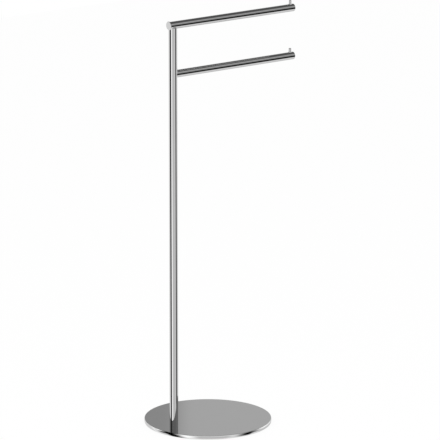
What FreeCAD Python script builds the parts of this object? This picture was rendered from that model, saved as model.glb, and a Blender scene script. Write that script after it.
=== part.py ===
import FreeCAD, Part
import os

import Sketcher

# A freestanding towel stand: a round base plate, one upright tube near the plate's edge and two fixed arms,
# one across the top of the tube and one below it. Millimetres. The origin is the middle of the face that
# rests on the floor, +Z is up and the arms point along +X over the plate's middle.

doc = FreeCAD.newDocument("towel_stand")
sheet = doc.addObject("Spreadsheet::Sheet", "Sizes")

DRIVING_SIZES = {
    # base
    "base_diameter": 280,
    "base_thickness": 8,
    "base_edge_bevel": 0.8,
    "mat_diameter": 266,
    "mat_thickness": 1.8,
    "mat_proud": 1.0,
    "mat_clearance": 0.3,
    # upright
    "post_offset": 92.5,
    "post_diameter": 18.7,
    "tube_wall": 1.5,
    "post_top_drop": 5,
    "foot_insert_length": 30,
    "top_insert_length": 30,
    "cross_insert_length": 26,
    # arms
    "arm_diameter": 16.6,
    "upper_height": 901,
    "arm_spacing": 107,
    "reach": 326,
    "tail": 10.2,
    "edge_break": 0.4,
    "cap_diameter": 18.6,
    "cap_thickness": 1.2,
    "cap_shank": 24,
    "plug_length": 15,
    "anchor_length": 21,
    # towel stops
    "stop_inset": 8.6,
    "stop_height": 8.8,
    "stop_diameter": 5.8,
    "stop_foot_diameter": 7.4,
    "stop_foot_height": 0.3,
    "stop_top_bevel": 0.6,
    "stop_thread": 4,
    "stop_thread_length": 6,
    "stop_skirt": 1.2,
    # fixings
    "bolt_thread": 8,
    "bolt_length": 25,
    "bolt_head": 16,
    "bolt_socket": 5,
    "bolt_socket_depth": 3,
    "bolt_rim": 0.3,
    "bolt_clearance": 0.5,
    "bolt_thread_floor": 8,
    "bolt_window": 22,
    "dowel_diameter": 2.5,
    "dowel_length": 6,
    "dowel_radius": 6,
    "spigot_thread": 8,
    "spigot_diameter": 7,
    "spigot_bore": 7.1,
    "spigot_seat": 3.5,
    "spigot_end_gap": 0.5,
    "upper_spigot_length": 32,
    "lower_spigot_grip": 15,
    "screw_thread": 5,
    "screw_socket": 2.5,
    "screw_socket_depth": 2,
    "upper_screw_length": 5,
    "lower_screw_length": 4,
    "upper_screw_drop": 17,
    "lower_screw_step": 9,
}

for row, (alias, value) in enumerate(DRIVING_SIZES.items(), start=1):
    sheet.set(f"A{row}", alias)
    sheet.set(f"B{row}", str(value))
    sheet.setAlias(f"B{row}", alias)
doc.recompute()

# Sizes that follow from the driving ones, as formulas.
POST_RADIUS = "Sizes.post_diameter / 2"
POST_BORE = "Sizes.post_diameter - 2 * Sizes.tube_wall"
POST_BOTTOM = "Sizes.mat_proud + Sizes.base_thickness"
POST_TOP = "Sizes.upper_height - Sizes.post_top_drop"
POST_X = "-Sizes.post_offset"
ARM_RADIUS = "Sizes.arm_diameter / 2"
ARM_BORE = "Sizes.arm_diameter - 2 * Sizes.tube_wall"
LOWER_HEIGHT = "Sizes.upper_height - Sizes.arm_spacing"
STOP_X = "Sizes.reach - Sizes.stop_inset"
MAT_RECESS = "Sizes.mat_thickness - Sizes.mat_proud"
LOWER_SCREW_X = f"{POST_RADIUS} + Sizes.lower_screw_step"
SPIGOT_TIP = "Sizes.spigot_seat + Sizes.spigot_end_gap"
SCREW_SEAT = "Sizes.spigot_diameter / 2"


def size(formula):
    """The formula's value in millimetres."""
    return float(sheet.evalExpression(formula))


# ---------------------------------------------------------------- ways of making a piece


def new_body(label):
    return doc.addObject("PartDesign::Body", label)


def sketch_on(body, name, role, lift="0"):
    """A sketch on one of the body's own planes, lifted along that plane's normal."""
    plane = next(f for f in body.Origin.OriginFeatures if f.Role == role)
    sketch = body.newObject("Sketcher::SketchObject", name)
    sketch.AttachmentSupport = [(plane, "")]
    sketch.MapMode = "FlatFace"
    sketch.setExpression("AttachmentOffset.Base.z", lift)
    return sketch


def pin_point(sketch, geometry, point, across, up):
    """Holds a point of the sketch at a place measured from the sketch's origin."""
    for kind, formula in (("DistanceX", across), ("DistanceY", up)):
        held = Sketcher.Constraint(kind, -1, 1, geometry, point, size(formula))
        sketch.setExpression(f"Constraints[{sketch.addConstraint(held)}]", formula)


def add_circle(sketch, diameter, across="0", up="0"):
    centre = FreeCAD.Vector(size(across), size(up), 0)
    ring = Part.Circle(centre, FreeCAD.Vector(0, 0, 1), size(diameter) / 2)
    index = sketch.addGeometry(ring, False)
    width = sketch.addConstraint(Sketcher.Constraint("Diameter", index, size(diameter)))
    sketch.setExpression(f"Constraints[{width}]", diameter)
    pin_point(sketch, index, 3, across, up)


def add_outline(sketch, corners):
    """A closed outline of straight runs through corners, each given as two formulas."""
    places = [FreeCAD.Vector(size(across), size(up), 0) for across, up in corners]
    for index, start in enumerate(places):
        sketch.addGeometry(Part.LineSegment(start, places[(index + 1) % len(places)]), False)
    for index, (across, up) in enumerate(corners):
        before = (index - 1) % len(corners)
        sketch.addConstraint(Sketcher.Constraint("Coincident", before, 2, index, 1))
        pin_point(sketch, index, 1, across, up)


def pad(body, sketch, length):
    feature = body.newObject("PartDesign::Pad", f"{sketch.Name}_pad")
    feature.Profile = sketch
    feature.setExpression("Length", length)
    return feature


def cut(body, sketch, depth=None, backwards=False, both_ways=False):
    """Cuts the sketch's shape against the plane's normal: right through, or to a depth."""
    feature = body.newObject("PartDesign::Pocket", f"{sketch.Name}_cut")
    feature.Profile = sketch
    feature.Reversed = backwards
    if both_ways:
        feature.SideType = "Symmetric"
    if depth is None:
        feature.Type = "ThroughAll"
    else:
        feature.setExpression("Length", depth)
    return feature


def turn(body, sketch, axis):
    feature = body.newObject("PartDesign::Revolution", f"{sketch.Name}_turned")
    feature.Profile = sketch
    feature.ReferenceAxis = (sketch, [axis])
    feature.Angle = 360
    return feature


def ring_edges(feature, diameter, place=None, along="z"):
    """Names of the feature's round edges of that diameter, all or those at one place along an axis."""
    found = []
    for number, edge in enumerate(feature.Shape.Edges, start=1):
        if not hasattr(edge.Curve, "Radius"):
            continue
        if abs(edge.Curve.Radius * 2 - size(diameter)) > 1e-4:
            continue
        if place is not None and abs(getattr(edge.CenterOfMass, along) - size(place)) > 1e-4:
            continue
        found.append(f"Edge{number}")
    return found


def bevel(body, feature, edges, amount):
    """Bevels the named edges of the body's last feature."""
    finish = body.newObject("PartDesign::Chamfer", f"{feature.Name}_bevel")
    finish.Base = (feature, edges)
    finish.setExpression("Size", amount)
    doc.recompute()
    return finish


def hexagon(across_flats):
    corner = f"{across_flats} / sqrt(3)"
    return [(f"{corner} * cos({60 * k})", f"{corner} * sin({60 * k})") for k in range(6)]


def stand_at(body, across="0", up="0", rotation=None):
    """Places the body in the stand."""
    if rotation is not None:
        body.Placement = FreeCAD.Placement(FreeCAD.Vector(0, 0, 0), rotation)
    body.setExpression("Placement.Base.x", across)
    body.setExpression("Placement.Base.z", up)


# ---------------------------------------------------------------- base


def make_base_plate():
    """The heavy polished disc, with a recess below for its mat, a countersunk hole for the bolt and a blind
    hole for the dowel."""
    body = new_body("base_plate")
    disc = sketch_on(body, "plate_disc", "XY_Plane")
    add_circle(disc, "Sizes.base_diameter")
    plate = pad(body, disc, "Sizes.base_thickness")
    doc.recompute()
    rim = ring_edges(plate, "Sizes.base_diameter", "Sizes.base_thickness")
    bevel(body, plate, rim, "Sizes.base_edge_bevel")

    recess = sketch_on(body, "mat_recess", "XY_Plane")
    add_circle(recess, "Sizes.mat_diameter + 2 * Sizes.mat_clearance")
    cut(body, recess, MAT_RECESS, backwards=True)

    shank = sketch_on(body, "bolt_hole", "XY_Plane")
    add_circle(shank, "Sizes.bolt_thread + Sizes.bolt_clearance", POST_X)
    cut(body, shank, backwards=True)
    doc.recompute()
    mouth = ring_edges(body.Tip, "Sizes.bolt_thread + Sizes.bolt_clearance", MAT_RECESS)
    cone = "(Sizes.bolt_head - Sizes.bolt_thread) / 2 + Sizes.bolt_rim"
    bevel(body, body.Tip, mouth, cone)

    dowel = sketch_on(body, "dowel_hole", "XY_Plane", "Sizes.base_thickness")
    add_circle(dowel, "Sizes.dowel_diameter", f"{POST_X} + Sizes.dowel_radius")
    cut(body, dowel, "Sizes.dowel_length / 2")
    stand_at(body, up="Sizes.mat_proud")
    return body


def make_anti_slip_mat():
    """The rubber disc stuck into the plate's underside, open round the bolt's head."""
    body = new_body("anti_slip_mat")
    disc = sketch_on(body, "mat_disc", "XY_Plane")
    add_circle(disc, "Sizes.mat_diameter")
    add_circle(disc, "Sizes.bolt_window", POST_X)
    pad(body, disc, "Sizes.mat_thickness")
    stand_at(body)
    return body


def make_base_bolt():
    """The countersunk socket bolt that pulls the post down onto the plate, from below."""
    body = new_body("base_bolt")
    profile = sketch_on(body, "bolt_profile", "XZ_Plane")
    head = "Sizes.bolt_head / 2"
    shank = "Sizes.bolt_thread / 2"
    corners = [
        ("0", "0"),
        (head, "0"),
        (head, "Sizes.bolt_rim"),
        (shank, f"Sizes.bolt_rim + {head} - {shank}"),
        (shank, "Sizes.bolt_length"),
        ("0", "Sizes.bolt_length"),
    ]
    add_outline(profile, corners)
    turn(body, profile, "V_Axis")
    socket = sketch_on(body, "bolt_socket_shape", "XY_Plane")
    add_outline(socket, hexagon("Sizes.bolt_socket"))
    cut(body, socket, "Sizes.bolt_socket_depth", backwards=True)
    stand_at(body, POST_X, "Sizes.mat_thickness + Sizes.bolt_clearance / 2")
    return body


def make_foot_dowel():
    """The small steel pin that stops the post turning on the plate."""
    body = new_body("foot_dowel")
    pin = sketch_on(body, "dowel_pin", "XY_Plane", "-Sizes.dowel_length / 2")
    add_circle(pin, "Sizes.dowel_diameter")
    pad(body, pin, "Sizes.dowel_length")
    stand_at(body, f"{POST_X} + Sizes.dowel_radius", POST_BOTTOM)
    return body


# ---------------------------------------------------------------- upright


def saddle(body, name):
    """Cuts the piece's top to the round of the arm that lies across it, which runs along X."""
    arm = sketch_on(body, name, "YZ_Plane")
    add_circle(arm, "Sizes.arm_diameter", up="Sizes.upper_height")
    return cut(body, arm, both_ways=True)


def make_post_tube():
    """The upright tube, saddled at its top for the upper arm. It has a hole at the side for the lower arm's
    spigot and one behind for the grub screw that holds the upper arm's spigot."""
    body = new_body("post_tube")
    ring = sketch_on(body, "post_ring", "XY_Plane", POST_BOTTOM)
    add_circle(ring, "Sizes.post_diameter")
    add_circle(ring, POST_BORE)
    pad(body, ring, f"{POST_TOP} - ({POST_BOTTOM})")
    saddle(body, "post_saddle")
    spigot_hole = sketch_on(body, "post_spigot_hole", "YZ_Plane")
    add_circle(spigot_hole, "Sizes.spigot_thread", up=LOWER_HEIGHT)
    cut(body, spigot_hole, backwards=True)
    screw = sketch_on(body, "post_screw_hole", "XZ_Plane")
    add_circle(screw, "Sizes.screw_thread", up="Sizes.upper_height - Sizes.upper_screw_drop")
    cut(body, screw)
    stand_at(body, POST_X)
    return body


def make_post_foot_insert():
    """The threaded plug in the tube's foot, which takes the base bolt and the dowel."""
    body = new_body("post_foot_insert")
    round_bar = sketch_on(body, "foot_bar", "XY_Plane")
    add_circle(round_bar, POST_BORE)
    pad(body, round_bar, "Sizes.foot_insert_length")
    thread = sketch_on(body, "foot_thread", "XY_Plane")
    add_circle(thread, "Sizes.bolt_thread")
    cut(body, thread, "Sizes.foot_insert_length - Sizes.bolt_thread_floor", backwards=True)
    dowel = sketch_on(body, "foot_dowel_hole", "XY_Plane")
    add_circle(dowel, "Sizes.dowel_diameter", "Sizes.dowel_radius")
    cut(body, dowel, "Sizes.dowel_length / 2 + 1", backwards=True)
    stand_at(body, POST_X, POST_BOTTOM)
    return body


def make_post_top_insert():
    """The plug in the tube's top: saddled like the tube, bored for the upper arm's spigot, tapped behind."""
    body = new_body("post_top_insert")
    round_bar = sketch_on(body, "top_bar", "XY_Plane", f"{POST_TOP} - Sizes.top_insert_length")
    add_circle(round_bar, POST_BORE)
    pad(body, round_bar, "Sizes.top_insert_length")
    saddle(body, "top_insert_saddle")
    bore = sketch_on(body, "top_insert_bore", "XY_Plane")
    add_circle(bore, "Sizes.spigot_bore")
    cut(body, bore, backwards=True)
    screw = sketch_on(body, "top_insert_thread", "XZ_Plane")
    add_circle(screw, "Sizes.screw_thread", up="Sizes.upper_height - Sizes.upper_screw_drop")
    cut(body, screw)
    stand_at(body, POST_X)
    return body


def make_post_cross_insert():
    """The plug inside the tube behind the lower arm, tapped from the side for that arm's spigot."""
    body = new_body("post_cross_insert")
    middle = "-Sizes.cross_insert_length / 2"
    round_bar = sketch_on(body, "cross_bar", "XY_Plane", middle)
    add_circle(round_bar, POST_BORE)
    pad(body, round_bar, "Sizes.cross_insert_length")
    thread = sketch_on(body, "cross_thread", "YZ_Plane", f"-({SPIGOT_TIP})")
    add_circle(thread, "Sizes.spigot_thread")
    cut(body, thread, backwards=True)
    stand_at(body, POST_X, LOWER_HEIGHT)
    return body


# ---------------------------------------------------------------- arms


def arm_tube(label, start):
    """A tube along X from start to the reach, drilled on top for its towel stop, its far edge broken."""
    body = new_body(label)
    ring = sketch_on(body, f"{label}_ring", "YZ_Plane", start)
    add_circle(ring, "Sizes.arm_diameter")
    add_circle(ring, ARM_BORE)
    tube = pad(body, ring, f"Sizes.reach - ({start})")
    doc.recompute()
    far = ring_edges(tube, "Sizes.arm_diameter", "Sizes.reach", "x")
    bevel(body, tube, far, "Sizes.edge_break")
    stop = sketch_on(body, f"{label}_stop_hole", "XY_Plane")
    add_circle(stop, "Sizes.stop_thread", STOP_X)
    cut(body, stop, backwards=True)
    return body


def cope(body, name):
    """Cuts the piece's near end to the round of the post, which runs along Z."""
    post = sketch_on(body, name, "XY_Plane")
    add_circle(post, "Sizes.post_diameter")
    return cut(body, post, both_ways=True)


def make_upper_arm_tube():
    """The upper arm, which lies across the top of the post and runs a little past it."""
    body = arm_tube("upper_arm_tube", "-Sizes.tail")
    spigot_hole = sketch_on(body, "upper_arm_spigot_hole", "XY_Plane")
    add_circle(spigot_hole, "Sizes.spigot_thread")
    cut(body, spigot_hole)
    stand_at(body, POST_X, "Sizes.upper_height")
    return body


def make_lower_arm_tube():
    """The lower arm: its near end is coped to the side of the post, and its grub screw's hole is below."""
    body = arm_tube("lower_arm_tube", "0")
    cope(body, "lower_arm_cope")
    screw = sketch_on(body, "lower_arm_screw_hole", "XY_Plane")
    add_circle(screw, "Sizes.screw_thread", LOWER_SCREW_X)
    cut(body, screw)
    stand_at(body, POST_X, LOWER_HEIGHT)
    return body


def make_upper_arm_end_cap():
    """The turned cap on the upper arm's near end. Its shank fills the tube over the post and is tapped for
    the spigot, and its flange is a little wider than the tube."""
    body = new_body("upper_arm_end_cap")
    profile = sketch_on(body, "cap_profile", "XZ_Plane")
    flange = "Sizes.cap_diameter / 2"
    shank = f"({ARM_BORE}) / 2"
    face = "-Sizes.tail - Sizes.cap_thickness"
    seat = "-Sizes.tail"
    tip = f"{seat} + Sizes.cap_shank"
    corners = [
        (face, "0"),
        (face, f"{flange} - Sizes.edge_break"),
        (f"{face} + Sizes.edge_break", flange),
        (seat, flange),
        (seat, shank),
        (tip, shank),
        (tip, "0"),
    ]
    add_outline(profile, corners)
    turn(body, profile, "H_Axis")
    thread = sketch_on(body, "cap_thread", "XY_Plane", SPIGOT_TIP)
    add_circle(thread, "Sizes.spigot_thread")
    cut(body, thread)
    stand_at(body, POST_X, "Sizes.upper_height")
    return body


def make_lower_arm_anchor():
    """The plug in the lower arm's near end: coped like the tube, bored for the spigot, tapped from below."""
    body = new_body("lower_arm_anchor")
    round_bar = sketch_on(body, "anchor_bar", "YZ_Plane")
    add_circle(round_bar, ARM_BORE)
    pad(body, round_bar, f"{POST_RADIUS} + Sizes.anchor_length")
    cope(body, "anchor_cope")
    bore = sketch_on(body, "anchor_bore", "YZ_Plane")
    add_circle(bore, "Sizes.spigot_bore")
    cut(body, bore, f"{POST_RADIUS} + Sizes.lower_spigot_grip + 1", backwards=True)
    screw = sketch_on(body, "anchor_thread", "XY_Plane")
    add_circle(screw, "Sizes.screw_thread", LOWER_SCREW_X)
    cut(body, screw)
    stand_at(body, POST_X, LOWER_HEIGHT)
    return body


def spigot(label, length, thread_end, rotation, up):
    """A round peg along its own Z: threaded at the top down to thread_end, and turned down below, where the
    grub screw bears on it."""
    body = new_body(label)
    profile = sketch_on(body, f"{label}_profile", "XZ_Plane")
    radius = "Sizes.spigot_diameter / 2"
    thread = "Sizes.spigot_thread / 2"
    low = f"-({length})"
    corners = [
        ("0", low),
        (radius, low),
        (radius, thread_end),
        (thread, thread_end),
        (thread, "Sizes.spigot_seat"),
        ("0", "Sizes.spigot_seat"),
    ]
    add_outline(profile, corners)
    turn(body, profile, "V_Axis")
    stand_at(body, POST_X, up, rotation)
    return body


def make_upper_arm_spigot():
    """Screwed up into the end cap's shank, it drops into the post's top insert."""
    length = "Sizes.upper_spigot_length"
    thread_end = f"-({ARM_BORE}) / 2"
    upright = FreeCAD.Rotation()
    return spigot("upper_arm_spigot", length, thread_end, upright, "Sizes.upper_height")


def make_lower_arm_spigot():
    """Screwed sideways into the post's cross insert, it carries the lower arm."""
    length = f"{POST_RADIUS} + Sizes.lower_spigot_grip"
    thread_end = f"-({POST_BORE}) / 2"
    sideways = FreeCAD.Rotation(FreeCAD.Vector(0, 1, 0), -90)
    return spigot("lower_arm_spigot", length, thread_end, sideways, LOWER_HEIGHT)


def grub_screw(label, length):
    """A socket set screw with a flat point: the point at the origin and the socket up its own Z."""
    body = new_body(label)
    thread = sketch_on(body, f"{label}_thread", "XY_Plane")
    add_circle(thread, "Sizes.screw_thread")
    pad(body, thread, length)
    socket = sketch_on(body, f"{label}_socket", "XY_Plane", length)
    add_outline(socket, hexagon("Sizes.screw_socket"))
    cut(body, socket, "Sizes.screw_socket_depth")
    return body


def make_upper_grub_screw():
    """Clamps the upper arm's spigot, from the back of the post."""
    body = grub_screw("upper_grub_screw", "Sizes.upper_screw_length")
    backwards = FreeCAD.Rotation(FreeCAD.Vector(1, 0, 0), -90)
    stand_at(body, POST_X, "Sizes.upper_height - Sizes.upper_screw_drop", backwards)
    body.setExpression("Placement.Base.y", SCREW_SEAT)
    return body


def make_lower_grub_screw():
    """Clamps the lower arm on its spigot, from below the arm."""
    body = grub_screw("lower_grub_screw", "Sizes.lower_screw_length")
    downwards = FreeCAD.Rotation(FreeCAD.Vector(1, 0, 0), 180)
    stand_at(body, f"{POST_X} + {LOWER_SCREW_X}", f"{LOWER_HEIGHT} - ({SCREW_SEAT})", downwards)
    return body


def make_end_plug(level, up):
    """The plug that closes an arm's far end, flush with the tube and tapped from above for the towel stop."""
    body = new_body(f"{level}_arm_end_plug")
    round_bar = sketch_on(body, f"{level}_plug_bar", "YZ_Plane", "Sizes.reach - Sizes.plug_length")
    add_circle(round_bar, ARM_BORE)
    pad(body, round_bar, "Sizes.plug_length")
    floor = f"{ARM_RADIUS} - Sizes.stop_thread_length - Sizes.spigot_end_gap"
    thread = sketch_on(body, f"{level}_plug_thread", "XY_Plane", floor)
    add_circle(thread, "Sizes.stop_thread", STOP_X)
    cut(body, thread, backwards=True)
    stand_at(body, POST_X, up)
    return body


def make_towel_stop(level, up):
    """The little turned peg near an arm's far end: a bevelled pin on a flared foot that is seated on the
    tube's curve, with a threaded shank that goes through the tube into the end plug."""
    body = new_body(f"{level}_towel_stop")
    radius = "Sizes.stop_diameter / 2"
    foot = "Sizes.stop_foot_diameter / 2"
    bevel_start = "Sizes.stop_height - Sizes.stop_top_bevel"
    corners = [
        ("0", "-Sizes.stop_skirt"),
        (foot, "-Sizes.stop_skirt"),
        (foot, "Sizes.stop_foot_height"),
        (radius, "Sizes.stop_foot_height + Sizes.stop_top_bevel"),
        (radius, bevel_start),
        (f"{radius} - Sizes.stop_top_bevel", "Sizes.stop_height"),
        ("0", "Sizes.stop_height"),
    ]
    profile = sketch_on(body, f"{level}_stop_profile", "XZ_Plane")
    add_outline(profile, corners)
    turn(body, profile, "V_Axis")
    seat = sketch_on(body, f"{level}_stop_seat", "YZ_Plane")
    add_circle(seat, "Sizes.arm_diameter", up=f"-{ARM_RADIUS}")
    cut(body, seat, both_ways=True)
    thread = sketch_on(body, f"{level}_stop_shank", "XY_Plane", "-Sizes.stop_thread_length")
    add_circle(thread, "Sizes.stop_thread")
    pad(body, thread, "Sizes.stop_thread_length + Sizes.stop_foot_height")
    stand_at(body, f"{POST_X} + {STOP_X}", f"{up} + {ARM_RADIUS}")
    return body


# ---------------------------------------------------------------- the stand

pieces = [
    make_base_plate(),
    make_anti_slip_mat(),
    make_base_bolt(),
    make_foot_dowel(),
    make_post_tube(),
    make_post_foot_insert(),
    make_post_top_insert(),
    make_post_cross_insert(),
    make_upper_arm_tube(),
    make_upper_arm_end_cap(),
    make_upper_arm_spigot(),
    make_upper_grub_screw(),
    make_lower_arm_tube(),
    make_lower_arm_anchor(),
    make_lower_arm_spigot(),
    make_lower_grub_screw(),
]
for level, up in (("upper", "Sizes.upper_height"), ("lower", LOWER_HEIGHT)):
    pieces.append(make_end_plug(level, up))
    pieces.append(make_towel_stop(level, up))

doc.recompute()

for thing in doc.Objects:
    if "Invalid" in thing.State or "Error" in thing.State:
        raise RuntimeError(f"{thing.Name} did not build: {thing.State}")
for piece in pieces:
    if piece.Shape.isNull() or not piece.Shape.isValid():
        raise RuntimeError(f"{piece.Label} has no valid shape")
    if len(piece.Shape.Solids) != 1:
        raise RuntimeError(f"{piece.Label} is {len(piece.Shape.Solids)} solids")

os.makedirs("parts", exist_ok=True)
for piece in pieces:
    piece.Shape.exportStep(f"parts/{piece.Label}.step")
    box = piece.Shape.BoundBox
    low = f"{box.XMin:7.1f} {box.YMin:7.1f} {box.ZMin:7.1f}"
    high = f"{box.XMax:7.1f} {box.YMax:7.1f} {box.ZMax:7.1f}"
    print(f"{piece.Label:20s} {piece.Shape.Volume / 1000:9.2f} cm3  from {low}  to {high}")
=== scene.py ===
import math

import bmesh
import bpy
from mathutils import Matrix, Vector


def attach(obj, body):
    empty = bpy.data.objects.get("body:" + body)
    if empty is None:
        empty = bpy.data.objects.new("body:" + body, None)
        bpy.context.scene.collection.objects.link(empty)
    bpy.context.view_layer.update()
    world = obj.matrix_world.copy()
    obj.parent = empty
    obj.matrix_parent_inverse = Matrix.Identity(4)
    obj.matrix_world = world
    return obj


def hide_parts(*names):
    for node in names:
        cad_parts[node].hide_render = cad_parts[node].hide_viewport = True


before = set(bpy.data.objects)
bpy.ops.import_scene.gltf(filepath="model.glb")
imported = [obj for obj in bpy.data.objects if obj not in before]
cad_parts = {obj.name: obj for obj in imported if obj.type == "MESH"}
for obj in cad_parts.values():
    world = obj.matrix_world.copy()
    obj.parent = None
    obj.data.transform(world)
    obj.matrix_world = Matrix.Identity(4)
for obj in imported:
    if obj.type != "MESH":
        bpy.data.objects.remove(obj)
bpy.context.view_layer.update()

# ------------------------------------------------------------------ base plate
# A heavy round steel plate, turned, polished and chrome plated. Its rim is turned to a shallow bulge. The mat
# sits in a recess below, and a countersunk bolt comes up through the plate into the post's foot.

PLATE_RADIUS = 0.140
PLATE_BOTTOM = 0.001
PLATE_TOP = 0.009
PLATE_STEPS = 256
RIM_CURVE = 0.0125
RIM_STEPS = 24
RIM_EDGE = 0.0003
RECESS_RADIUS = 0.1333
RECESS_ROOF = 0.0018
POST_X = -0.0925
BOLT_HOLE = 0.00425
BOLT_MOUTH = 0.00855

TOUCHING = 1e-6
LEVEL_NORMAL = 0.9999
SHARP_ANGLE = math.radians(30)

CHROME_TONE = 0.93
CLOUD_TONE = 0.98 * CHROME_TONE
CLOUD_SCALE = 24.0
CHROME_ROUGHNESS = 0.02
CLOUD_ROUGHNESS = 0.02
LINE_ROUGHNESS = 0.012
LINE_RELIEF = 0.004
RELIEF_DEPTH = 0.0002
RING_SCALE = 900.0


def round_corner(form, corner, amount):
    """Rounds a corner between two edges of a profile."""
    bmesh.ops.bevel(
        form, geom=[corner], offset=amount, segments=3, profile=0.5, affect="VERTICES", material=-1
    )


def draw_profile(form, corners, roundings=None, centre=0.0):
    """A run of edges in the XZ plane through corners, each (radius, height), some of them rounded."""
    points = [form.verts.new((centre + radius, 0.0, height)) for radius, height in corners]
    for pair in zip(points, points[1:]):
        form.edges.new(pair)
    for index, amount in (roundings or {}).items():
        round_corner(form, points[index], amount)
    return points


def turn(form, steps, centre=0.0):
    """Turns all of a form's profile once round the upright axis through centre."""
    bmesh.ops.spin(
        form,
        geom=form.verts[:] + form.edges[:],
        cent=(centre, 0.0, 0.0),
        axis=(0.0, 0.0, 1.0),
        angle=math.tau,
        steps=steps,
        use_merge=True,
    )


def put_in_place(form, name, material, replaced):
    """Makes an object of a form. It rides on the stand, and stands for a CAD node."""
    mesh = bpy.data.meshes.new(name)
    form.to_mesh(mesh)
    form.free()
    mesh.materials.append(material)
    piece = bpy.data.objects.new(name, mesh)
    bpy.context.scene.collection.objects.link(piece)
    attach(piece, "root")
    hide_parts(replaced)
    return mesh


def as_piece(form, name, material, replaced):
    """Closes a turned form and puts it in place. Its faces point outwards, and it shades smooth but for its
    level faces and sharp edges."""
    bmesh.ops.remove_doubles(form, verts=form.verts, dist=TOUCHING)
    bmesh.ops.recalc_face_normals(form, faces=form.faces)
    for face in form.faces:
        face.smooth = abs(face.normal.z) < LEVEL_NORMAL
    for edge in form.edges:
        edge.smooth = edge.calc_face_angle(0.0) < SHARP_ANGLE
    put_in_place(form, name, material, replaced)


class Wire:
    """One socket of a shader node. Sums and products of wires and numbers add their own Math nodes."""

    def __init__(self, tree, socket=None):
        self.tree = tree
        self.socket = socket

    def node(self, kind, settings=None, inputs=None, output=0):
        """Adds a node: first its settings, then the values or wires of its sockets."""
        made = self.tree.nodes.new(kind)
        for name, value in (settings or {}).items():
            setattr(made, name, value)
        for name, value in (inputs or {}).items():
            if isinstance(value, Wire):
                self.tree.links.new(value.socket, made.inputs[name])
            else:
                made.inputs[name].default_value = value
        return Wire(self.tree, made.outputs[output])

    def math(self, operation, *others):
        return self.node("ShaderNodeMath", {"operation": operation}, dict(enumerate((self, *others))))

    def into(self, shader, socket):
        self.tree.links.new(self.socket, shader.inputs[socket])

    def __add__(self, other):
        return self.math("ADD", other)

    def __sub__(self, other):
        return self.math("SUBTRACT", other)

    def __rsub__(self, other):
        return (self * -1).math("ADD", other)

    def __mul__(self, other):
        return self.math("MULTIPLY", other)

    __radd__ = __add__
    __rmul__ = __mul__


def new_finish(name, metallic):
    """A material, its Principled shader, and a wire that holds the place on the object."""
    material = bpy.data.materials.new(name)
    material.use_nodes = True
    shader = material.node_tree.nodes["Principled BSDF"]
    shader.inputs["Metallic"].default_value = metallic
    place = Wire(material.node_tree).node("ShaderNodeTexCoord", output="Object")
    return material, shader, place


def grey(tone):
    return (tone, tone, tone, 1)


def noise(place, scale, detail=2.0):
    return place.node("ShaderNodeTexNoise", inputs={"Vector": place, "Scale": scale, "Detail": detail})


def blend(factor, dark, light):
    """A colour between two, by a factor that changes over the surface."""
    settings = {"data_type": "RGBA"}
    return factor.node("ShaderNodeMix", settings, {0: factor, 6: dark, 7: light}, output=2)


def bump(height, strength):
    inputs = {"Height": height, "Strength": strength, "Distance": RELIEF_DEPTH}
    return height.node("ShaderNodeBump", inputs=inputs)


def chrome(name, lay):
    """Chrome plate over polished steel: nearly a mirror, with a faint cloud and, along the polishing's lay,
    the finest of draw lines. lay turns the object's place into one that is stretched along those lines."""
    material, shader, place = new_finish(name, metallic=1.0)
    cloud = noise(place, CLOUD_SCALE)
    lines = noise(lay(place), 1.0, 4.0)
    blend(cloud, grey(CLOUD_TONE), grey(CHROME_TONE)).into(shader, "Base Color")
    roughness = CHROME_ROUGHNESS + CLOUD_ROUGHNESS * cloud + LINE_ROUGHNESS * lines
    roughness.into(shader, "Roughness")
    bump(lines, LINE_RELIEF).into(shader, "Normal")
    return material


def turned_lay(place):
    """Rings about the plate's axis, from a lathe and a polishing wheel."""
    level = place.node("ShaderNodeVectorMath", {"operation": "MULTIPLY"}, {0: place, 1: (1.0, 1.0, 0.0)})
    radius = level.node("ShaderNodeVectorMath", {"operation": "LENGTH"}, {0: level}, output="Value")
    height = place.node("ShaderNodeSeparateXYZ", inputs={0: place}, output="Z")
    return place.node("ShaderNodeCombineXYZ", inputs={"X": radius * RING_SCALE, "Y": height * RING_SCALE})


plate = bmesh.new()
rim_middle = (PLATE_BOTTOM + PLATE_TOP) / 2
rim_tilt = math.asin((PLATE_TOP - PLATE_BOTTOM) / 2 / RIM_CURVE)
rim_centre = PLATE_RADIUS - RIM_CURVE
foot = plate.verts.new((rim_centre + RIM_CURVE * math.cos(rim_tilt), 0.0, PLATE_BOTTOM))
swung = bmesh.ops.spin(
    plate,
    geom=[foot],
    cent=(rim_centre, 0.0, rim_middle),
    axis=(0.0, -1.0, 0.0),
    angle=2 * rim_tilt,
    steps=RIM_STEPS,
)
brow = next(part for part in swung["geom_last"] if isinstance(part, bmesh.types.BMVert))
below = draw_profile(plate, [(RECESS_RADIUS, RECESS_ROOF), (RECESS_RADIUS, PLATE_BOTTOM)])
plate.edges.new((below[-1], foot))
inner = plate.verts.new((RECESS_RADIUS, 0.0, PLATE_TOP))
plate.edges.new((brow, inner))
round_corner(plate, foot, RIM_EDGE)
round_corner(plate, brow, RIM_EDGE)
turn(plate, PLATE_STEPS)

hole = bmesh.new()
neck = RECESS_ROOF + BOLT_MOUTH - BOLT_HOLE
draw_profile(hole, [(BOLT_MOUTH, RECESS_ROOF), (BOLT_HOLE, neck), (BOLT_HOLE, PLATE_TOP)], centre=POST_X)
turn(hole, PLATE_STEPS, centre=POST_X)
hole_mesh = bpy.data.meshes.new("bolt_hole")
hole.to_mesh(hole_mesh)
hole.free()
plate.from_mesh(hole_mesh)
bpy.data.meshes.remove(hole_mesh)
bmesh.ops.remove_doubles(plate, verts=plate.verts, dist=TOUCHING)

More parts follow.
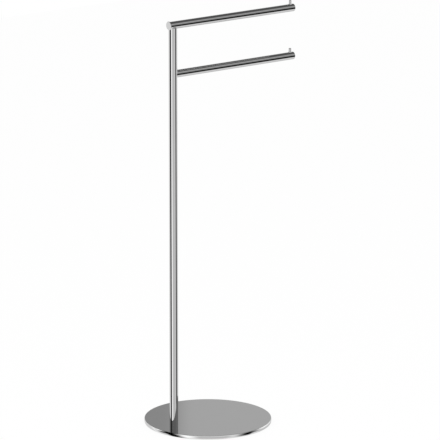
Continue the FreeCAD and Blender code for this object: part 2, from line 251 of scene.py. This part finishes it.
# The plate's top and the recess's roof are each filled in between their outer ring and the bolt's hole.
for height in (PLATE_TOP, RECESS_ROOF):
    ring = {point for point in plate.verts if abs(point.co.z - height) < TOUCHING}
    for point in ring:
        point.co.z = height
    open_edges = [edge for edge in plate.edges if edge.is_boundary and ring.issuperset(edge.verts)]
    bmesh.ops.triangle_fill(plate, edges=open_edges, normal=(0.0, 0.0, 1.0))

plate_chrome = chrome("plate_chrome", turned_lay)
as_piece(plate, "polished_base_plate", plate_chrome, "base_plate")

# ------------------------------------------------------------------ anti-slip mat
# A disc of matt black rubber, stuck into the plate's underside so that only its last millimetre shows. A
# window in it leaves the bolt's head free.


def dress(material, *nodes):
    """Gives CAD nodes their finish."""
    for node in nodes:
        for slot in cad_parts[node].material_slots:
            slot.material = material


rubber, shader, place = new_finish("mat_rubber", metallic=0.0)
grain = noise(place, 900.0, 3.0)
patch = noise(place, 30.0)
blend(patch, grey(0.012), grey(0.024)).into(shader, "Base Color")
(0.62 + 0.2 * grain).into(shader, "Roughness")
bump(grain, 0.4).into(shader, "Normal")
dress(rubber, "anti_slip_mat")

# ------------------------------------------------------------------ bolt, dowel and spigots
# Zinc-plated steel: the countersunk socket bolt from below, the little pin beside it that stops the post
# turning on the plate, and the pegs hidden in the tubes that carry the arms.

zinc, shader, place = new_finish("zinc_plate", metallic=1.0)
spangle = noise(place, 260.0, 3.0)
blend(spangle, (0.56, 0.58, 0.6, 1), (0.7, 0.72, 0.73, 1)).into(shader, "Base Color")
(0.24 + 0.14 * spangle).into(shader, "Roughness")
bump(spangle, 0.15).into(shader, "Normal")
dress(zinc, "base_bolt", "foot_dowel", "upper_arm_spigot", "lower_arm_spigot")

# ------------------------------------------------------------------ upright
# One chromed steel tube, drawn and then polished along its length, with its brim rolled in a little under the
# arm. Brass plugs sit inside its foot, behind the lower arm and in its top, and the top one is plated too.

POST_RADIUS = 0.00935
SADDLE_DEPTH = 0.8926
BRIM_ROUNDING = 0.0012
BRIM_SEGMENTS = 5
LINES_ACROSS = 2600.0
LINES_ALONG = 14.0
WALL_TOLERANCE = 5e-5
WALL_SLOPE = 0.01
FLAT_ANGLE = math.radians(0.3)


def scaled(place, scale):
    """The place, multiplied along X, Y and Z."""
    return place.node("ShaderNodeMapping", inputs={"Vector": place, "Scale": scale})


def upright_lay(place):
    return scaled(place, (LINES_ACROSS, LINES_ACROSS, LINES_ALONG))


def from_axis(point, centre, axis):
    """The step from a tube's axis to a point, square to the axis."""
    step = point - centre
    return step - axis * step.dot(axis)


def is_outer_wall(face, centre, axis, radius):
    reach = min(from_axis(corner.co, centre, axis).length for corner in face.verts)
    return abs(face.normal.dot(axis)) < WALL_SLOPE and reach > radius - WALL_TOLERANCE


def copy_tube(node):
    """A CAD tube's mesh, with its loose triangles merged into whole facets."""
    form = bmesh.new()
    form.from_mesh(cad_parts[node].data)
    bmesh.ops.remove_doubles(form, verts=form.verts, dist=TOUCHING)
    bmesh.ops.dissolve_limit(form, angle_limit=FLAT_ANGLE, verts=form.verts, edges=form.edges)
    return form


def place_tube(form, name, material, node, centre, axis, radius):
    """Puts a tube in place. Its outer wall shades as a true cylinder, and its cut ends shade flat."""
    outer_walls = [is_outer_wall(face, centre, axis, radius) for face in form.faces]
    mesh = put_in_place(form, name, material, node)
    corner_normals = []
    for face, outer in zip(mesh.polygons, outer_walls):
        face.use_smooth = True
        for corner in face.vertices:
            outward = from_axis(mesh.vertices[corner].co, centre, axis).normalized()
            corner_normals.append(outward if outer else face.normal)
    mesh.normals_split_custom_set(corner_normals)


post_chrome = chrome("post_chrome", upright_lay)
dress(post_chrome, "post_top_insert")

post_axis = (Vector((POST_X, 0.0, 0.0)), Vector((0.0, 0.0, 1.0)), POST_RADIUS)
tube = copy_tube("post_tube")
brim = [
    edge
    for edge in tube.edges
    if sum(is_outer_wall(face, *post_axis) for face in edge.link_faces) == 1
    and min(corner.co.z for corner in edge.verts) > SADDLE_DEPTH
]
bmesh.ops.bevel(
    tube,
    geom=brim,
    offset=BRIM_ROUNDING,
    segments=BRIM_SEGMENTS,
    profile=0.5,
    affect="EDGES",
    material=-1,
    clamp_overlap=True,
)
place_tube(tube, "rolled_post_tube", post_chrome, "post_tube", *post_axis)

brass, shader, place = new_finish("turned_brass_bar", metallic=1.0)
turned = noise(scaled(place, (1.0, 1.0, 60.0)), 60.0, 3.0)
blend(turned, (0.66, 0.44, 0.16, 1), (0.86, 0.64, 0.3, 1)).into(shader, "Base Color")
(0.18 + 0.2 * turned).into(shader, "Roughness")
bump(turned, 0.1).into(shader, "Normal")
dress(brass, "post_foot_insert", "post_cross_insert", "lower_arm_anchor")

# ------------------------------------------------------------------ arms
# Two chromed tubes, each closed by a turned plug at its far end. The upper one lies across the post's top
# and is closed by a wider cap behind the post.

ARM_RADIUS = 0.0083
ARM_HEIGHTS = {"upper": 0.901, "lower": 0.794}


def along_arm_lay(place):
    return scaled(place, (LINES_ALONG, LINES_ACROSS, LINES_ACROSS))


arm_chrome = chrome("arm_chrome", along_arm_lay)
dress(arm_chrome, "upper_arm_end_cap", "upper_arm_end_plug", "lower_arm_end_plug")

for level, height in ARM_HEIGHTS.items():
    node = f"{level}_arm_tube"
    arm_axis = (Vector((0.0, 0.0, height)), Vector((1.0, 0.0, 0.0)), ARM_RADIUS)
    place_tube(copy_tube(node), f"polished_{node}", arm_chrome, node, *arm_axis)

# ------------------------------------------------------------------ grub screws
# Blackened socket screws that hold each arm on its spigot: one sits behind the post and the other below the
# lower arm.

black_oxide, shader, place = new_finish("black_oxide", metallic=1.0)
speckle = noise(place, 700.0, 3.0)
blend(speckle, grey(0.02), grey(0.05)).into(shader, "Base Color")
(0.34 + 0.2 * speckle).into(shader, "Roughness")
bump(speckle, 0.2).into(shader, "Normal")
dress(black_oxide, "upper_grub_screw", "lower_grub_screw")

# ------------------------------------------------------------------ towel stops
# Little turned and chromed pegs that keep a towel from sliding off. Each has a flared foot, filed to the
# tube's curve, a rounded crown and a threaded shank that is screwed down into the arm's end plug.

STOP_X = 0.2249
STOP_RADIUS = 0.0029
STOP_HEIGHT = 0.0088
STOP_FOOT = 0.0037
STOP_FLARE = 0.0005
STOP_SKIRT = -0.0012
STOP_STEPS = 96
SHANK_RADIUS = 0.002
SHANK_DEPTH = -0.006
CROWN_ROUNDING = 0.0009
FILLET = 0.0005
FOOT_EDGE = 0.0002
HOLD = 0.0002  # beyond each rounding, a point that keeps the pin's long side shading straight

pin_top = STOP_HEIGHT - CROWN_ROUNDING - HOLD
pin_bottom = STOP_FLARE + FILLET + HOLD
peg_corners = [
    (0.0, STOP_HEIGHT),
    (STOP_RADIUS, STOP_HEIGHT),
    (STOP_RADIUS, pin_top),
    (STOP_RADIUS, pin_bottom),
    (STOP_RADIUS, STOP_FLARE),
    (STOP_FOOT, STOP_FLARE),
    (STOP_FOOT, STOP_SKIRT),
    (SHANK_RADIUS, STOP_SKIRT),
    (SHANK_RADIUS, SHANK_DEPTH),
    (0.0, SHANK_DEPTH),
]

for level, arm_height in ARM_HEIGHTS.items():
    peg = bmesh.new()
    draw_profile(peg, peg_corners, {1: CROWN_ROUNDING, 4: FILLET, 5: FOOT_EDGE})
    turn(peg, STOP_STEPS)
    for point in peg.verts:
        if abs(point.co.z - STOP_SKIRT) < TOUCHING:
            point.co.z = math.sqrt(ARM_RADIUS**2 - point.co.y**2) - ARM_RADIUS
    bmesh.ops.translate(peg, verts=peg.verts, vec=(STOP_X, 0.0, arm_height + ARM_RADIUS))
    as_piece(peg, f"{level}_polished_stop", post_chrome, f"{level}_towel_stop")

# ------------------------------------------------------------------ floor
# A plain white sweep. Only the camera sees it, and only from above. It keeps a faint shadow of the stand,
# because a little of its matt white shows through its glow.

FLOOR_HALF = 4.0
FLOOR_SHOW = 0.9
FLOOR_TONE = 0.96

form = bmesh.new()
bmesh.ops.create_grid(form, x_segments=1, y_segments=1, size=FLOOR_HALF)
floor_mesh = bpy.data.meshes.new("floor")
form.to_mesh(floor_mesh)
form.free()
floor = bpy.data.objects.new("floor", floor_mesh)
bpy.context.scene.collection.objects.link(floor)
floor.visible_glossy = False
floor.visible_diffuse = False
floor.visible_transmission = False
floor.visible_shadow = False

floor_white = bpy.data.materials.new("floor_white")
floor_white.use_nodes = True
floor_white.node_tree.nodes.clear()
start = Wire(floor_white.node_tree)
matt = start.node("ShaderNodeBsdfDiffuse", inputs={"Color": grey(FLOOR_TONE)})
glow = start.node("ShaderNodeEmission", inputs={"Color": grey(1.0), "Strength": 1.0})
clear = start.node("ShaderNodeBsdfTransparent")
seen = start.node("ShaderNodeLightPath", output="Is Camera Ray")
shown = start.node("ShaderNodeMixShader", inputs={0: seen * FLOOR_SHOW, 1: matt, 2: glow})
beneath = start.node("ShaderNodeNewGeometry", output="Backfacing")
one_sided = start.node("ShaderNodeMixShader", inputs={0: beneath, 1: shown, 2: clear})
one_sided.into(floor_white.node_tree.nodes.new("ShaderNodeOutputMaterial"), "Surface")
floor_mesh.materials.append(floor_white)

# ------------------------------------------------------------------ studio
# A white cove under a dark ceiling, with cards and black flags round the stand, which the chrome shows as its
# light and dark stripes. Directions are in degrees: the azimuth goes from the front of the set, where the
# photographer stands, to the right, and the elevation up from the horizon.

FRONT = Vector((-0.6006, -0.7995, 0.0))
RIGHT = Vector((0.7995, -0.6006, 0.0))
UP = Vector((0.0, 0.0, 1.0))
COVE = 1.08
CEILING = 0.07
CEILING_FROM = 11
CEILING_EDGE = 16
AMBIENT = 0.9

# name: (from azimuth, to azimuth, soft edge, from elevation, to elevation, soft edge, tone). The two at the
# back give the plate's face its tone to the left and right of the post, which hides the line between them.
CARDS = {
    "back": (-190, -165, 10, 5, 25, 10, 0.255),
    "back_right": (150, 180.6, 0.4, -5, 30, 15, 0.39),
    "far_right": (50, 140, 15, 20, 45, 20, 0.2),
    "right_strip": (45, 85, 5, 25, 35, 15, 0.5),
    "left_wall": (-90, -55, 25, -15, 40, 10, 0.0),
    "left_side": (-165, -115, 25, -65, 0, 10, 0.65),
    "left_panel": (-110, -105, 15, -60, 10, 5, 0.65),
    "right_side": (85, 195, 30, -65, -10, 20, 0.55),
    "front_dip": (-25, 45, 25, -60, 5, 20, 0.5),
    "low_floor": (-85, 110, 5, -90, -35, 30, 0.7),
    "right_flag": (55, 100, 40, -35, 10, 20, 0.0),
    "left_flag": (-100, -50, 25, -60, -5, 15, 0.0),
    "left_glow": (-105, -80, 10, -60, -20, 15, 0.65),
    "right_glow": (90, 115, 10, -60, -20, 10, 0.7),
    "overhead": (-180, 180, 1, 70, 95, 15, 0.9),
}

world = bpy.data.worlds.new("studio")
world.use_nodes = True
bpy.context.scene.world = world
world.node_tree.nodes.clear()
start = Wire(world.node_tree)
direction = start.node("ShaderNodeTexCoord", output="Generated")


def along(axis):
    """How far the direction goes along an axis."""
    dot_product = {"operation": "DOT_PRODUCT"}
    return direction.node("ShaderNodeVectorMath", dot_product, {0: direction, 1: axis}, output="Value")


azimuth = along(RIGHT).math("ARCTAN2", along(FRONT)) * math.degrees(1)
elevation = along(UP).math("ARCSINE") * math.degrees(1)


def up_to(limit, value, edge):
    """1 where a value is below a limit, falling smoothly to 0 over an edge that is centred on it."""
    limits = {"From Min": limit - edge / 2, "From Max": limit + edge / 2, "To Min": 1.0, "To Max": 0.0}
    return value.node("ShaderNodeMapRange", {"interpolation_type": "SMOOTHSTEP"}, {"Value": value, **limits})


def between_azimuths(low, high, edge):
    off_middle = (azimuth - (low + high) / 2).math("WRAP", 180, -180)
    return up_to((high - low) / 2, off_middle.math("ABSOLUTE"), edge)


def between_elevations(low, high, edge):
    off_middle = elevation - (low + high) / 2
    return up_to((high - low) / 2, off_middle.math("ABSOLUTE"), edge)


ceiling = up_to(0, CEILING_FROM - elevation, CEILING_EDGE)
pattern = COVE + (CEILING - COVE) * ceiling
for from_azimuth, to_azimuth, side_edge, from_elevation, to_elevation, end_edge, tone in CARDS.values():
    across = between_azimuths(from_azimuth, to_azimuth, side_edge)
    card = across * between_elevations(from_elevation, to_elevation, end_edge)
    pattern = pattern + (tone - pattern) * card

camera_ray = start.node("ShaderNodeLightPath", output="Is Camera Ray")
glossy_ray = start.node("ShaderNodeLightPath", output="Is Glossy Ray")
brightness = camera_ray + glossy_ray * pattern + (1 - camera_ray - glossy_ray) * AMBIENT
backdrop = start.node("ShaderNodeBackground", inputs={"Color": grey(1.0), "Strength": brightness})
backdrop.into(world.node_tree.nodes.new("ShaderNodeOutputWorld"), "Surface")

LAMP_SIZE = 2.4
LAMP_WATTS = 30.0
LAMP_PLACE = Vector((-1.6, -1.9, 3.0))
LAMP_TARGET = Vector((0.0, 0.0, 0.4))

lamp_data = bpy.data.lights.new("softbox", "AREA")
lamp_data.shape = "DISK"
lamp_data.size = LAMP_SIZE
lamp_data.energy = LAMP_WATTS
lamp = bpy.data.objects.new("softbox", lamp_data)
lamp.location = LAMP_PLACE
lamp.rotation_euler = (LAMP_TARGET - LAMP_PLACE).to_track_quat("-Z", "Y").to_euler()
lamp.visible_glossy = False
bpy.context.scene.collection.objects.link(lamp)

# ------------------------------------------------------------------ camera
# A long lens, almost nine metres off, looking down a little over the plate's near edge.

CAMERA_PLACE = (-5.20841, -6.97771, 2.66338)
PITCH = math.radians(14.2163)
HEADING = math.radians(53.0849)
FOCAL_LENGTH = 337.55
SENSOR_WIDTH = 36.0

lens = bpy.data.cameras.new("camera")
lens.lens = FOCAL_LENGTH
lens.sensor_width = SENSOR_WIDTH
lens.clip_end = 100.0
camera = bpy.data.objects.new("camera", lens)
camera.location = CAMERA_PLACE
level_look = Vector((math.cos(HEADING), math.sin(HEADING), 0.0))
look = math.cos(PITCH) * level_look - math.sin(PITCH) * UP
camera.rotation_euler = look.to_track_quat("-Z", "Y").to_euler()
bpy.context.scene.collection.objects.link(camera)
bpy.context.scene.camera = camera
bpy.context.scene.view_settings.view_transform = "Standard"
